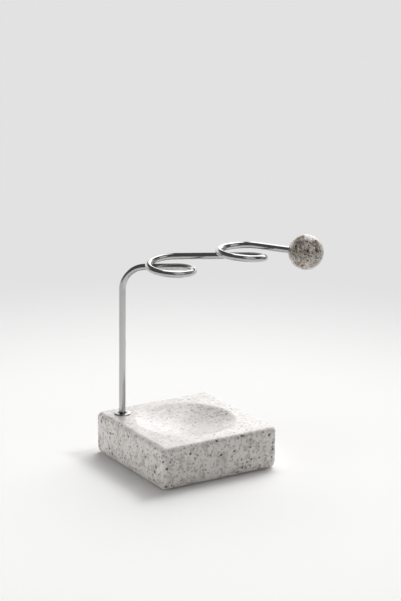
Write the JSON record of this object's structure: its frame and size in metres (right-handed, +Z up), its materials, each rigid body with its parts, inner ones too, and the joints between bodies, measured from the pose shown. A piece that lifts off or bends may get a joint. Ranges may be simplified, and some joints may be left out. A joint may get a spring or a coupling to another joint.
{
  "type": "toothbrush holder",
  "caption": "Toothbrush holder with a speckled cast-stone block, a shallow dish in its top and a bent steel rod whose loops steady the handles, ending in a stone ball.",
  "frame": {"origin": "middle of the rest face, under the block", "axes": "+Z up; X and Y along the sides of the block; the post stands at the -X +Y corner and the arm runs on the diagonal towards +X -Y"},
  "size_m": [0.0876, 0.0876, 0.1268],
  "materials": {
    "cast_stone": "satin cast stone, off-white with grey and black specks",
    "ball_stone": "satin cast stone, warm grey with dense dark specks",
    "satin_steel": "polished stainless rod with faint lengthwise drawing lines",
    "polished_steel": "polished stainless steel",
    "plated_steel": "bright zinc plating",
    "insert_brass": "machined brass",
    "pad_rubber": "matt closed-cell foam rubber"
  },
  "bodies": {
    "root": {"base_block": "cast_stone", "anti_slip_pad": "pad_rubber", "post_collar": "polished_steel", "wire_frame": "satin_steel", "clamp_washer": "plated_steel", "spring_washer": "plated_steel", "clamp_nut": "plated_steel", "finial_ball": "ball_stone", "ball_insert": "insert_brass"}
  },
  "joints": []
}
